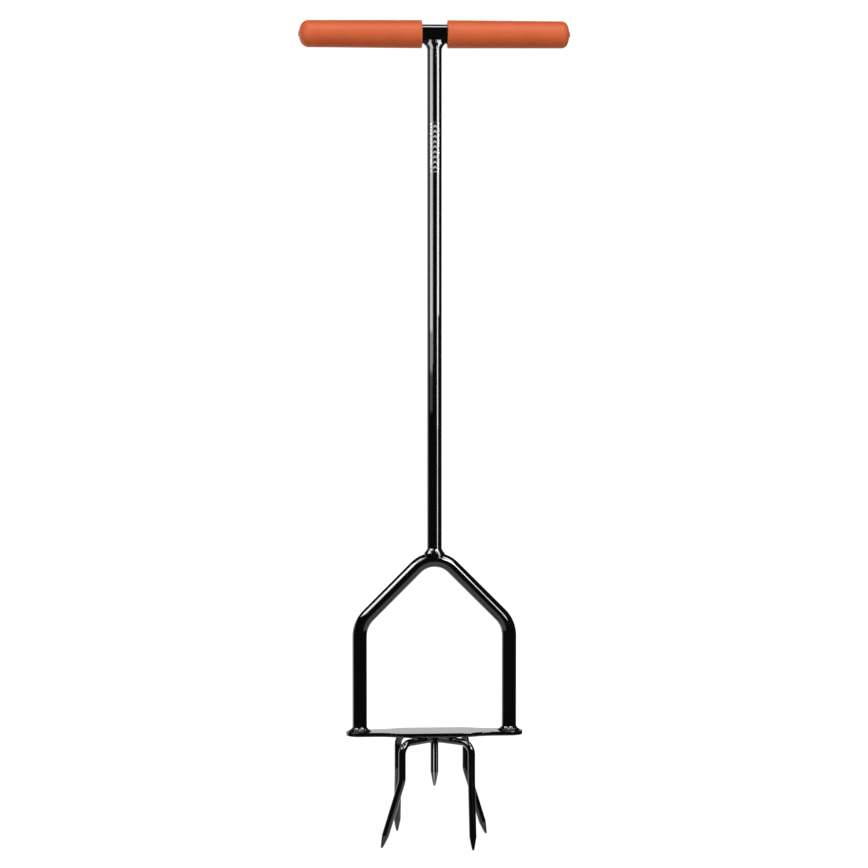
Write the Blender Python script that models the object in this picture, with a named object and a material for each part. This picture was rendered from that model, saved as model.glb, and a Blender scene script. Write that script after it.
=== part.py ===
"""Twist aerator fork: a T-handled hand tool that a foot pushes into turf and both hands twist.

It is welded steel: a crossbar, a shaft, a bent yoke, a step plate, four bent tines and a centre
spike, with a soft grip on each half of the crossbar. All sizes are in metres. +Z is up, X runs
along the handle and the step plate, and -Y is the front. The origin is on the ground, under the
middle of the tool.
"""

import math

import bmesh
import bpy
from mathutils import Matrix, Vector

# Overall sizes
OVERALL_HEIGHT = 0.940  # tine points to the top of the grips
HANDLE_WIDTH = 0.309  # over both grips, without their end nubs
STEP_HEIGHT = 0.128  # top of the step plate above the tine points

# Clearances
GAP = 0.0003  # between pieces that touch or are welded
GRIP_CLEARANCE = 0.0003  # between the crossbar and a grip's bore

# Crossbar and grips
CROSSBAR_OD = 0.0222
CROSSBAR_WALL = 0.0015
GRIP_WALL = 0.0045
GRIP_END_WALL = 0.0045  # soft material past the end of the crossbar
GRIP_STANDOFF = 0.0003  # from the crossbar's weld to a grip's inner end
GRIP_TAPER = 0.0004  # radius lost from the inner end to the outer corner
GRIP_EDGE = 0.0010  # rounding of the inner end
GRIP_CORNER = 0.0045  # rounding of the outer end
GRIP_DOME = 0.0025  # how far the outer end bulges past its corner
GRIP_NUB_DIAMETER = 0.0065
GRIP_NUB_HEIGHT = 0.0007

# Shaft and yoke, bent from one tube stock
TUBE_OD = 0.0168
TUBE_WALL = 0.0015
SHAFT_SEAT = 0.0045  # lower end of the shaft above the yoke's centre line
YOKE_RISE = 0.197  # step plate's top to the yoke's centre line at the crown
YOKE_SLOPE = math.radians(45)  # of the two diagonals
CROWN_BEND_RADIUS = 0.030
KNEE_BEND_RADIUS = 0.034

# Step plate
PLATE_LENGTH = 0.2032
PLATE_THICKNESS = 0.00476
PLATE_END_MARGIN = 0.0003  # from a leg's weld to the plate's edge
LEG_SETBACK = 0.0011  # a leg's axis inwards of its round end's centre
PLATE_MIDDLE_DEPTH = 0.047
PLATE_MIDDLE_LENGTH = 0.077
PLATE_TAPER_LENGTH = 0.018
PLATE_CORNER = 0.004  # how far each corner of the outline is eased back

# Tines
TINE_OD = 0.0083
TINE_CIRCLE = 0.112  # across the axes of two opposite tines
TINE_SHOULDER_RADIUS = 0.013
TINE_KINK_HEIGHT = 0.0768
TINE_KINK_RADIUS = 0.020
TINE_KINK_ANGLE = math.radians(17)
TINE_KINK_AZIMUTH = math.radians(-45)  # from the arm's outward direction, seen from above
TINE_POINT_LENGTH = 0.0145
TINE_POINT_DIAMETER = 0.0023

# Centre spike
SPIKE_OD = 0.0090
SPIKE_POINT_HEIGHT = 0.064
SPIKE_CONE_LENGTH = 0.016
SPIKE_POINT_DIAMETER = 0.0024

# Weld beads
SADDLE_WELD_SIDE = 0.0054  # leg along the crossbar or yoke
SADDLE_WELD_DROP = 0.0056  # leg along the shaft
SADDLE_WELD_FACE = 0.0014  # how far the bead stands out of the shaft at the front
CROWN_WELD_END = 0.0025  # the bead's lower edge at the front, above the yoke's centre line
FOOT_WELD_WIDTH = 0.0055
FOOT_WELD_HEIGHT = 0.0056
ARM_WELD_WIDTH = 0.0028
SPIKE_WELD_WIDTH = 0.0024
WELD_WAIST = 0.42  # middle of a bead's face, as a share of its two legs

# Label
LABEL_LENGTH = 0.058
LABEL_ARC = math.radians(70)
LABEL_THICKNESS = 0.0002
LABEL_TOP_BELOW_CROSSBAR = 0.099

# Facets
TUBE_SIDES = 24
BAR_SIDES = 16
BEND_STEP = math.radians(9)
WELD_SIDES = 24

# Sizes that follow
GRIP_BORE = CROSSBAR_OD + 2 * GRIP_CLEARANCE
GRIP_OD = GRIP_BORE + 2 * GRIP_WALL
SADDLE_WELD_REACH = TUBE_OD / 2 + GAP + SADDLE_WELD_SIDE
GRIP_SPACING = 2 * (SADDLE_WELD_REACH + GRIP_STANDOFF)
FOOT_WELD_RADIUS = TUBE_OD / 2 + GAP + FOOT_WELD_WIDTH
PLATE_END_RADIUS = FOOT_WELD_RADIUS + PLATE_END_MARGIN
LEG_X = PLATE_LENGTH / 2 - PLATE_END_RADIUS - LEG_SETBACK
CROSSBAR_Z = OVERALL_HEIGHT - GRIP_OD / 2
CROWN_Z = STEP_HEIGHT + YOKE_RISE
PLATE_BOTTOM = STEP_HEIGHT - PLATE_THICKNESS
ARM_Z = PLATE_BOTTOM - GAP - TINE_OD / 2
SPIKE_WELD_RADIUS = SPIKE_OD / 2 + GAP + SPIKE_WELD_WIDTH
ARM_START = max(SPIKE_WELD_RADIUS, TINE_OD / 2) + GAP

TINE_AZIMUTHS = {
    "front_left_tine": math.radians(225),
    "front_right_tine": math.radians(315),
    "rear_right_tine": math.radians(45),
    "rear_left_tine": math.radians(135),
}

PAINT = ("black_paint", (0.012, 0.012, 0.013, 1.0), 0.15, 0.0)
GRIP = ("orange_grip", (0.66, 0.15, 0.055, 1.0), 0.65, 0.0)
LABEL = ("label_print", (0.05, 0.05, 0.055, 1.0), 0.35, 0.0)


class Bend:
    """A round section carried along straights and bends, as a bar goes through a bender."""

    def __init__(self, at, heading, radius, sides, wall=None):
        """A section of this radius at a point, facing heading; with a wall it is a tube's."""
        self.bm = bmesh.new()
        self.at = Vector(at)
        self.heading = Vector(heading).normalized()
        turn = Vector((0, 0, 1)).rotation_difference(self.heading).to_matrix().to_4x4()
        place = Matrix.Translation(self.at) @ turn
        bmesh.ops.create_circle(
            self.bm, cap_ends=True, segments=sides, radius=radius, matrix=place
        )
        if wall:
            disc = self.bm.faces[:]
            bmesh.ops.inset_region(
                self.bm, faces=disc, thickness=wall, use_boundary=True, use_even_offset=True
            )
            bmesh.ops.delete(self.bm, geom=disc, context="FACES_ONLY")
        self.section = self.bm.faces[:] + self.bm.edges[:]

    def straight(self, length, shrink=1.0):
        """Carry the section forward by length; shrink below 1 makes a cone."""
        self.at = self.at + self.heading * length
        made = bmesh.ops.extrude_face_region(self.bm, geom=self.section)
        verts = [g for g in made["geom"] if isinstance(g, bmesh.types.BMVert)]
        self.section = made["geom"]
        bmesh.ops.translate(self.bm, verts=verts, vec=self.heading * length)
        if shrink != 1.0:
            centre = Matrix.Translation(-self.at)
            bmesh.ops.scale(self.bm, verts=verts, vec=(shrink,) * 3, space=centre)
        return self

    def turn(self, angle, radius, axis):
        """Carry the section round a bend of this centre-line radius, turning about axis."""
        axis = Vector(axis).normalized()
        centre = self.at + axis.cross(self.heading) * radius
        steps = max(2, math.ceil(angle / BEND_STEP))
        made = bmesh.ops.spin(
            self.bm, geom=self.section, cent=centre, axis=axis, angle=angle, steps=steps
        )
        self.section = made["geom_last"]
        spun = Matrix.Rotation(angle, 3, axis)
        self.at = centre + spun @ (self.at - centre)
        self.heading = spun @ self.heading
        return self

    def mesh(self, name):
        return finished_mesh(name, self.bm)


def finished_mesh(name, bm):
    bmesh.ops.recalc_face_normals(bm, faces=bm.faces)
    mesh = bpy.data.meshes.new(name)
    bm.to_mesh(mesh)
    bm.free()
    mesh.shade_smooth()
    mesh.set_sharp_from_angle(angle=math.radians(35))
    return mesh


def material(name, colour, roughness, metallic):
    found = bpy.data.materials.get(name)
    if found:
        return found
    made = bpy.data.materials.new(name)
    made.use_nodes = True
    shader = made.node_tree.nodes["Principled BSDF"]
    shader.inputs["Base Color"].default_value = colour
    shader.inputs["Roughness"].default_value = roughness
    shader.inputs["Metallic"].default_value = metallic
    made.diffuse_color = colour
    return made


def add(name, mesh, finish, parent, location=(0, 0, 0), turn_z=0.0):
    """One named piece with its material on its object, so that a shared mesh is left plain."""
    piece = bpy.data.objects.new(name, mesh)
    bpy.context.scene.collection.objects.link(piece)
    piece.parent = parent
    piece.location = location
    piece.rotation_euler.z = turn_z
    if not mesh.materials:
        mesh.materials.append(None)
    piece.material_slots[0].link = "OBJECT"
    piece.material_slots[0].material = material(*finish)
    return piece


def add_empty(name, parent=None, location=(0, 0, 0)):
    empty = bpy.data.objects.new(name, None)
    bpy.context.scene.collection.objects.link(empty)
    empty.parent = parent
    empty.location = location
    return empty


def add_cutter(name, mesh, parent):
    cutter = bpy.data.objects.new(name, mesh)
    bpy.context.scene.collection.objects.link(cutter)
    cutter.parent = parent
    cutter.hide_render = True
    cutter.display_type = "WIRE"
    return cutter


def cut(piece, *cutters):
    for cutter in cutters:
        boolean = piece.modifiers.new(cutter.name, "BOOLEAN")
        boolean.operation = "DIFFERENCE"
        boolean.solver = "EXACT"
        boolean.object = cutter


def turned_mesh(name, profile, sides):
    """A closed solid turned about Z from (radius, z) points that start and end on the axis."""
    bm = bmesh.new()
    verts = [bm.verts.new((radius, 0, z)) for radius, z in profile]
    edges = [bm.edges.new(pair) for pair in zip(verts, verts[1:])]
    bmesh.ops.spin(
        bm, geom=verts + edges, axis=(0, 0, 1), angle=math.tau, steps=sides, use_merge=True
    )
    bmesh.ops.remove_doubles(bm, verts=bm.verts, dist=1e-6)
    return finished_mesh(name, bm)


def ring_mesh(name, profile, sides):
    """A closed ring turned about Z from a closed outline of (radius, z) points."""
    bm = bmesh.new()
    verts = [bm.verts.new((radius, 0, z)) for radius, z in profile]
    edges = [bm.edges.new(pair) for pair in zip(verts, verts[1:] + verts[:1])]
    bmesh.ops.spin(
        bm, geom=verts + edges, axis=(0, 0, 1), angle=math.tau, steps=sides, use_merge=True
    )
    bmesh.ops.remove_doubles(bm, verts=bm.verts, dist=1e-6)
    return finished_mesh(name, bm)


def arc_points(centre, radius, start, end, steps):
    """Points of an arc as (across, up) pairs, both ends included."""
    angles = [start + (end - start) * i / steps for i in range(steps + 1)]
    return [
        (centre[0] + radius * math.cos(angle), centre[1] + radius * math.sin(angle))
        for angle in angles
    ]


# ---- Crossbar and grips -------------------------------------------------------------------


def crossbar_run(clearance=0.0, wall=None):
    half = HANDLE_WIDTH / 2 - GRIP_DOME - GRIP_END_WALL
    radius = CROSSBAR_OD / 2 + clearance
    bar = Bend((-half, 0, CROSSBAR_Z), (1, 0, 0), radius, TUBE_SIDES, wall)
    return bar.straight(2 * half)


def grip_mesh():
    """A soft grip standing on its inner end, with a blind bore for the crossbar."""
    length = (HANDLE_WIDTH - GRIP_SPACING) / 2
    bore = GRIP_BORE / 2
    bore_depth = length - GRIP_DOME - GRIP_END_WALL + GAP
    outer = GRIP_OD / 2
    corner = outer - GRIP_TAPER
    nub = GRIP_NUB_DIAMETER / 2
    shoulder = length - GRIP_DOME
    profile = [(0, bore_depth), (bore, bore_depth), (bore, 0)]
    profile += arc_points((outer - GRIP_EDGE, GRIP_EDGE), GRIP_EDGE, -math.pi / 2, 0, 2)
    profile += arc_points(
        (corner - GRIP_CORNER, shoulder - GRIP_CORNER), GRIP_CORNER, 0, math.pi / 2, 4
    )
    profile += [(nub, length - GRIP_NUB_HEIGHT), (nub, length), (0, length)]
    return turned_mesh("grip", profile, TUBE_SIDES)


def add_handle(root):
    add("crossbar_tube", crossbar_run(wall=CROSSBAR_WALL).mesh("crossbar_tube"), PAINT, root)
    mesh = grip_mesh()
    for name, side in (("left_grip", -1), ("right_grip", 1)):
        grip = add(name, mesh, GRIP, root, (side * GRIP_SPACING / 2, 0, CROSSBAR_Z))
        grip.rotation_euler.y = side * math.pi / 2


# ---- Shaft and yoke -----------------------------------------------------------------------


def yoke_run(clearance=0.0, wall=None):
    """The yoke's bent tube, from the left leg's foot over the crown to the right leg's foot."""
    foot = STEP_HEIGHT + GAP
    half = LEG_X
    crown_turn = 2 * YOKE_SLOPE
    knee_turn = math.pi / 2 - YOKE_SLOPE
    crown_set = CROWN_BEND_RADIUS * math.tan(YOKE_SLOPE)
    knee_set = KNEE_BEND_RADIUS * math.tan(knee_turn / 2)
    crown_corner = CROWN_Z + CROWN_BEND_RADIUS * (1 / math.cos(YOKE_SLOPE) - 1)
    knee_corner = crown_corner - half * math.tan(YOKE_SLOPE)
    leg = knee_corner - knee_set - foot
    diagonal = half / math.cos(YOKE_SLOPE) - knee_set - crown_set
    bar = Bend((-half, 0, foot), (0, 0, 1), TUBE_OD / 2 + clearance, TUBE_SIDES, wall)
    bar.straight(leg).turn(knee_turn, KNEE_BEND_RADIUS, (0, 1, 0)).straight(diagonal)
    bar.turn(crown_turn, CROWN_BEND_RADIUS, (0, 1, 0))
    bar.straight(diagonal).turn(knee_turn, KNEE_BEND_RADIUS, (0, 1, 0)).straight(leg)
    return bar


def shaft_run(low, high, clearance=0.0, wall=None):
    bar = Bend((0, 0, low), (0, 0, 1), TUBE_OD / 2 + clearance, TUBE_SIDES, wall)
    return bar.straight(high - low)


def skirt_mesh(name, rings):
    """A solid of oval rings about Z, each (z, half width in X, half width in Y), lowest first."""
    bm = bmesh.new()
    loops = []
    for z, wide, deep in rings:
        place = Matrix.Translation((0, 0, z)) @ Matrix.Diagonal((wide, deep, 1, 1))
        made = bmesh.ops.create_circle(bm, segments=WELD_SIDES, radius=1, matrix=place)
        loops.append(list({edge for vert in made["verts"] for edge in vert.link_edges}))
    for lower, upper in zip(loops, loops[1:]):
        bmesh.ops.bridge_loops(bm, edges=lower + upper)
    for end in (loops[0], loops[-1]):
        bmesh.ops.contextual_create(bm, geom=end)
    return finished_mesh(name, bm)


def saddle_weld_mesh(name, corner, end, up):
    """A bead round the shaft, before the pieces that it joins are cut out of it.

    corner is the height where the shaft's side meets the other tube, and end is the height
    where the bead stops at the front. up is 1 for a bead over the other tube and -1 under it.
    """
    shaft = TUBE_OD / 2 + GAP
    front = shaft + SADDLE_WELD_FACE
    waist_height = corner + up * SADDLE_WELD_DROP * WELD_WAIST
    waist_side = shaft + SADDLE_WELD_SIDE * WELD_WAIST
    waist_front = shaft + SADDLE_WELD_FACE * (1 - WELD_WAIST)
    rings = [
        (end, SADDLE_WELD_REACH, front),
        (corner, SADDLE_WELD_REACH, front),
        (waist_height, waist_side, waist_front),
        (corner + up * SADDLE_WELD_DROP, shaft + GAP, shaft + GAP),
    ]
    return skirt_mesh(name, rings if up > 0 else rings[::-1])


def add_shaft_and_yoke(root):
    outer = TUBE_OD / 2
    seat = CROWN_Z + SHAFT_SEAT
    over_crossbar = add_cutter(
        "crossbar_clearance", crossbar_run(GAP).mesh("crossbar_clearance"), root
    )
    over_yoke = add_cutter(
        "yoke_clearance", yoke_run(GAP).mesh("yoke_clearance"), root
    )
    over_shaft = add_cutter(
        "shaft_clearance",
        shaft_run(seat - GAP, OVERALL_HEIGHT, GAP).mesh("shaft_clearance"),
        root,
    )
    shaft_mesh = shaft_run(seat, CROSSBAR_Z, wall=TUBE_WALL).mesh("shaft_tube")
    shaft = add("shaft_tube", shaft_mesh, PAINT, root)
    cut(shaft, over_crossbar, over_yoke)
    add("yoke_tube", yoke_run(wall=TUBE_WALL).mesh("yoke_tube"), PAINT, root)

    arch = CROWN_BEND_RADIUS + outer
    crown_corner = CROWN_Z - CROWN_BEND_RADIUS + math.sqrt(arch**2 - outer**2)
    crown_weld = add(
        "crown_weld",
        saddle_weld_mesh("crown_weld", crown_corner, CROWN_Z + CROWN_WELD_END, 1),
        PAINT,
        root,
    )
    cut(crown_weld, over_yoke, over_shaft)
    crossbar_corner = CROSSBAR_Z - CROSSBAR_OD / 2
    crossbar_end = CROSSBAR_Z - math.sqrt(CROSSBAR_OD**2 / 4 - (outer + GAP) ** 2)
    crossbar_weld = add(
        "crossbar_weld",
        saddle_weld_mesh("crossbar_weld", crossbar_corner, crossbar_end, -1),
        PAINT,
        root,
    )
    cut(crossbar_weld, over_crossbar, over_shaft)


def ring_weld_mesh(name, bore, width, height):
    """A bead round a bar that stands on z = 0, or hangs from it where height is negative."""
    base = math.copysign(GAP, height)
    profile = [
        (bore, base),
        (bore + width, base),
        (bore + width * WELD_WAIST, base + height * WELD_WAIST),
        (bore, base + height),
    ]
    return ring_mesh(name, profile, WELD_SIDES)


def add_leg_welds(root):
    mesh = ring_weld_mesh("leg_weld", TUBE_OD / 2 + GAP, FOOT_WELD_WIDTH, FOOT_WELD_HEIGHT)
    for name, side in (("left_leg_weld", -1), ("right_leg_weld", 1)):
        add(name, mesh, PAINT, root, (side * LEG_X, 0, STEP_HEIGHT))


# ---- Step plate ---------------------------------------------------------------------------


def step_plate_mesh():
    """A flat plate with round ends and a wider middle, its middle a face of its own."""
    half_middle = PLATE_MIDDLE_LENGTH / 2
    neck = half_middle + PLATE_TAPER_LENGTH
    end_radius = PLATE_END_RADIUS
    end_centre = PLATE_LENGTH / 2 - end_radius
    quarter = [(half_middle, PLATE_MIDDLE_DEPTH / 2), (neck, end_radius)]
    right_end = arc_points((end_centre, 0), end_radius, math.pi / 2, -math.pi / 2, 12)
    right = quarter + right_end + [(x, -y) for x, y in reversed(quarter)]
    outline = right + [(-x, -y) for x, y in right]
    bm = bmesh.new()
    verts = [bm.verts.new((x, y, 0)) for x, y in outline]
    bm.faces.new(verts)
    corners = [v for v in verts if abs(v.co.x) < neck + GAP]
    bmesh.ops.bevel(
        bm, geom=corners, affect="VERTICES", offset=PLATE_CORNER, segments=2, profile=0.5
    )
    for side in (-1, 1):
        everything = bm.verts[:] + bm.edges[:] + bm.faces[:]
        edge = side * (half_middle - PLATE_CORNER)
        bmesh.ops.bisect_plane(bm, geom=everything, plane_co=(edge, 0, 0), plane_no=(1, 0, 0))
    made = bmesh.ops.extrude_face_region(bm, geom=bm.faces[:])
    raised = [g for g in made["geom"] if isinstance(g, bmesh.types.BMVert)]
    bmesh.ops.translate(bm, verts=raised, vec=(0, 0, PLATE_THICKNESS))
    return finished_mesh("step_plate", bm)


def add_step_plate(root):
    add("step_plate", step_plate_mesh(), PAINT, root, (0, 0, PLATE_BOTTOM))


# ---- Tines and spike ----------------------------------------------------------------------


def tine_mesh():
    """A tine with its arm along +X, measured from the middle of the tool at the arm's height."""
    drop_at = TINE_CIRCLE / 2
    kink_set = TINE_KINK_RADIUS * math.tan(TINE_KINK_ANGLE / 2)
    point_rise = TINE_POINT_DIAMETER / 2 * math.sin(TINE_KINK_ANGLE)
    arm = drop_at - TINE_SHOULDER_RADIUS - ARM_START
    upper = ARM_Z - TINE_SHOULDER_RADIUS - TINE_KINK_HEIGHT - kink_set
    lower = (TINE_KINK_HEIGHT - point_rise) / math.cos(TINE_KINK_ANGLE)
    kink_axis = Vector((0, 0, -1)).cross(
        (math.cos(TINE_KINK_AZIMUTH), math.sin(TINE_KINK_AZIMUTH), 0)
    )
    bar = Bend((ARM_START, 0, 0), (1, 0, 0), TINE_OD / 2, BAR_SIDES)
    bar.straight(arm).turn(math.pi / 2, TINE_SHOULDER_RADIUS, (0, 1, 0)).straight(upper)
    bar.turn(TINE_KINK_ANGLE, TINE_KINK_RADIUS, kink_axis)
    bar.straight(lower - kink_set - TINE_POINT_LENGTH)
    bar.straight(TINE_POINT_LENGTH, TINE_POINT_DIAMETER / TINE_OD)
    return bar.mesh("tine")


def arm_weld_mesh(name, side):
    """A fillet bead along one side of an arm, from its clearance round the bar to the plate."""
    bar = TINE_OD / 2 + GAP
    toe = bar + ARM_WELD_WIDTH
    plate_line = bar - GAP
    top = math.asin(plate_line / bar)
    profile = arc_points((0, 0), bar, top, 0, 4)
    profile += [(bar + ARM_WELD_WIDTH * WELD_WAIST, plate_line * WELD_WAIST), (toe, plate_line)]
    near = max(ARM_START, toe) + GAP
    far = PLATE_MIDDLE_DEPTH / 2 / math.sin(math.pi / 4) - toe - GAP
    bm = bmesh.new()
    verts = [bm.verts.new((near, side * across, up)) for across, up in profile]
    section = bm.faces.new(verts)
    made = bmesh.ops.extrude_face_region(bm, geom=[section])
    moved = [g for g in made["geom"] if isinstance(g, bmesh.types.BMVert)]
    bmesh.ops.translate(bm, verts=moved, vec=(far - near, 0, 0))
    return finished_mesh(name, bm)


def spike_run():
    high = PLATE_BOTTOM - GAP
    shank = high - SPIKE_POINT_HEIGHT - SPIKE_CONE_LENGTH
    bar = Bend((0, 0, high), (0, 0, -1), SPIKE_OD / 2, BAR_SIDES)
    return bar.straight(shank).straight(SPIKE_CONE_LENGTH, SPIKE_POINT_DIAMETER / SPIKE_OD)


def add_tines(root):
    hub = add_empty("tine_hub", root, (0, 0, ARM_Z))
    tine = tine_mesh()
    beads = {"a": arm_weld_mesh("arm_weld_a", 1), "b": arm_weld_mesh("arm_weld_b", -1)}
    for name, azimuth in TINE_AZIMUTHS.items():
        add(name, tine, PAINT, hub, turn_z=azimuth)
        for letter, mesh in beads.items():
            add(f"{name}_weld_{letter}", mesh, PAINT, hub, turn_z=azimuth)
    add("centre_spike", spike_run().mesh("centre_spike"), PAINT, root)
    spike_weld = ring_weld_mesh(
        "spike_weld", SPIKE_OD / 2 + GAP, SPIKE_WELD_WIDTH, -SPIKE_WELD_WIDTH
    )
    add("spike_weld", spike_weld, PAINT, root, (0, 0, PLATE_BOTTOM))


# ---- Label --------------------------------------------------------------------------------


def label_mesh():
    """A thin curved strip on the front of the shaft."""
    inner = TUBE_OD / 2 + GAP
    outer = inner + LABEL_THICKNESS
    high = CROSSBAR_Z - LABEL_TOP_BELOW_CROSSBAR
    low = high - LABEL_LENGTH
    bm = bmesh.new()
    corners = [(inner, low), (outer, low), (outer, high), (inner, high)]
    section = bm.faces.new([bm.verts.new((radius, 0, z)) for radius, z in corners])
    facing = Matrix.Rotation(-math.pi / 2 - LABEL_ARC / 2, 3, "Z")
    bmesh.ops.rotate(bm, verts=bm.verts, matrix=facing)
    bmesh.ops.spin(bm, geom=[section], axis=(0, 0, 1), angle=LABEL_ARC, steps=6)
    return finished_mesh("shaft_label", bm)


def main():
    for piece in list(bpy.data.objects):
        bpy.data.objects.remove(piece)
    root = add_empty("aerator_fork")
    add_handle(root)
    add_shaft_and_yoke(root)
    add_leg_welds(root)
    add_step_plate(root)
    add_tines(root)
    add("shaft_label", label_mesh(), LABEL, root)


main()
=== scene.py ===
"""A twist aerator fork dressed for a studio still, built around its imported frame.

Every visible piece takes its place and its main sizes from the frame's nodes. All sizes are in
metres. +Z is up, X runs along the handle and the step plate, and -Y is the front.
"""

import logging
import math
from dataclasses import dataclass, field
from enum import Enum
from typing import Any, Callable, Iterable, Sequence, Union

import bmesh
import bpy
from mathutils import Matrix, Vector, noise


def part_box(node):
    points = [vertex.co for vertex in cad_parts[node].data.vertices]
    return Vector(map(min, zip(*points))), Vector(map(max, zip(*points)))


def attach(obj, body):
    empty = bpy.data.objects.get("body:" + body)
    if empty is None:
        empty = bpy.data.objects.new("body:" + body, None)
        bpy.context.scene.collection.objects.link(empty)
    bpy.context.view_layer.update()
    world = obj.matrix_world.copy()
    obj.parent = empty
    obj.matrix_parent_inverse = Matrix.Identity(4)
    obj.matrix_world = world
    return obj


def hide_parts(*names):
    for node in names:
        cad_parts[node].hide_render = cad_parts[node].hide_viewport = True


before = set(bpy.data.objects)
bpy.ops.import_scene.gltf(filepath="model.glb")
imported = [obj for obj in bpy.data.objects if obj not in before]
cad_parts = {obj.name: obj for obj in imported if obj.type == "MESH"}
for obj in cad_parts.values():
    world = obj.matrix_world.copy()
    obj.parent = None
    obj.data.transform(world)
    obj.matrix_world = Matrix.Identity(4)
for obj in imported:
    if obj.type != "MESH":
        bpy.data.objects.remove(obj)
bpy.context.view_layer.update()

log = logging.getLogger("aerator_fork")

Colour = tuple[float, float, float]
Number = Union[int, float]
Value = Union["Term", Number]
BMesh = bmesh.types.BMesh
Piece = bpy.types.Object
Profile = list[tuple[float, float]]

BODY = "root"
FUSE = 0.00012  # how deep a weld bead reaches into the steel it joins
COPE = 0.000024  # how far a coped tube's end stays clear of the tube it meets
UP = Vector((0, 0, 1))
WHITE: Colour = (1.0, 1.0, 1.0)


# ---- Shader maths -------------------------------------------------------------------------


def operator(operation: str) -> Callable[["Term", Value], "Term"]:
    """A method that joins a term and another value by one Math operation."""

    def join(self: "Term", other: Value) -> "Term":
        """The two values joined."""
        return self.maths(operation, other)

    return join


class Term:
    """A shader socket that takes part in Python expressions, adding Math nodes as it goes."""

    __add__ = operator("ADD")
    __sub__ = operator("SUBTRACT")
    __mul__ = operator("MULTIPLY")
    __truediv__ = operator("DIVIDE")
    __gt__ = operator("GREATER_THAN")
    __lt__ = operator("LESS_THAN")

    def __init__(self, graph: "Graph", socket: bpy.types.NodeSocket) -> None:
        """Wrap an output socket of the graph."""
        self.graph = graph
        self.socket = socket

    def maths(self, operation: str, *others: Value) -> "Term":
        """One Math node on this value and up to two others."""
        inputs = dict(enumerate((self, *others)))
        made = self.graph.node("ShaderNodeMath", {"operation": operation}, inputs)
        return Term(self.graph, made.outputs[0])

    def __rsub__(self, other: Number) -> "Term":
        """other - self."""
        return (self * -1.0) + other

    def __abs__(self) -> "Term":
        """The size of self."""
        return self.maths("ABSOLUTE")

    def smooth(self, low: float, high: float) -> "Term":
        """0 below low, 1 above high and an eased step between them."""
        made = self.graph.node(
            "ShaderNodeMapRange",
            {"interpolation_type": "SMOOTHSTEP"},
            {"Value": self, "From Min": low, "From Max": high},
        )
        return Term(self.graph, made.outputs[0])


class Graph:
    """The node tree of one material or of the world."""

    def __init__(self, owner: Union[bpy.types.Material, bpy.types.World]) -> None:
        """Empty the owner's tree and take it over."""
        owner.use_nodes = True
        self.output = "ShaderNodeOutput" + type(owner).__name__
        self.tree = owner.node_tree
        self.tree.nodes.clear()

    def node(
        self, kind: str, settings: dict[str, Any] | None = None, inputs: dict[Any, Any] | None = None
    ) -> bpy.types.Node:
        """Add one node.

        Args:
            kind: The node's type name.
            settings: Properties to set first, such as an operation.
            inputs: Values, or terms to link, by input name or number.

        Returns:
            The new node.
        """
        made = self.tree.nodes.new(kind)
        for name, value in (settings or {}).items():
            setattr(made, name, value)
        for name, value in (inputs or {}).items():
            if isinstance(value, Term):
                self.tree.links.new(value.socket, made.inputs[name])
            else:
                made.inputs[name].default_value = value
        return made

    def term(self, node: bpy.types.Node, output: Union[str, int] = 0) -> Term:
        """One output of a node as a term."""
        return Term(self, node.outputs[output])

    def place(self) -> Term:
        """The point on the object, in its own coordinates."""
        return self.term(self.node("ShaderNodeTexCoord"), "Object")

    def noise(self, place: Term, size: float, detail: float = 2.0, rough: float = 0.5) -> Term:
        """Soft noise from 0 to 1 whose lumps are about this size in metres."""
        made = self.node(
            "ShaderNodeTexNoise",
            inputs={"Vector": place, "Scale": 1 / size, "Detail": detail, "Roughness": rough},
        )
        return self.term(made, 0)

    def blend(self, factor: Term, low: Colour, high: Colour) -> Term:
        """A colour between two others."""
        made = self.node(
            "ShaderNodeMix",
            {"data_type": "RGBA"},
            {0: factor, 6: (*low, 1.0), 7: (*high, 1.0)},
        )
        return self.term(made, 2)

    def bump(self, height: Term, depth: float) -> Term:
        """A surface normal from a height of 0 to 1, depth metres deep."""
        made = self.node("ShaderNodeBump", inputs={"Height": height, "Distance": depth})
        return self.term(made, 0)

    def show(self, shader: bpy.types.Node) -> None:
        """Send a shader to the output."""
        self.node(self.output, inputs={"Surface": self.term(shader)})


# ---- Finishes -----------------------------------------------------------------------------


@dataclass(frozen=True)
class Enamel:
    """Glossy black paint over steel, with slow waves, a faint peel and a little dust."""

    name: str
    roughness: float = 0.055
    peel_depth: float = 0.0000003
    peel_size: float = 0.0016
    wave_depth: float = 0.000016
    wave_size: float = 0.026
    colour: Colour = (0.0030, 0.0030, 0.0032)
    dusty: Colour = (0.0052, 0.0050, 0.0051)
    dust_size: float = 0.018
    dust_roughness: float = 0.05
    slot: str = "black_paint"

    def build(self) -> bpy.types.Material:
        """Make the material."""
        material = bpy.data.materials.new(self.name)
        graph = Graph(material)
        place = graph.place()
        dust = graph.noise(place, self.dust_size, detail=4.0, rough=0.6).smooth(0.45, 0.75)
        peel = graph.noise(place, self.peel_size, rough=0.4)
        wave = graph.noise(place, self.wave_size, detail=1.0, rough=0.4)
        depth = self.wave_depth + self.peel_depth
        height = (wave * self.wave_depth + peel * self.peel_depth) / depth
        shader = graph.node(
            "ShaderNodeBsdfPrincipled",
            inputs={
                "Base Color": graph.blend(dust, self.colour, self.dusty),
                "Roughness": dust * self.dust_roughness + self.roughness,
                "Normal": graph.bump(height, depth),
            },
        )
        graph.show(shader)
        return material


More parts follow.
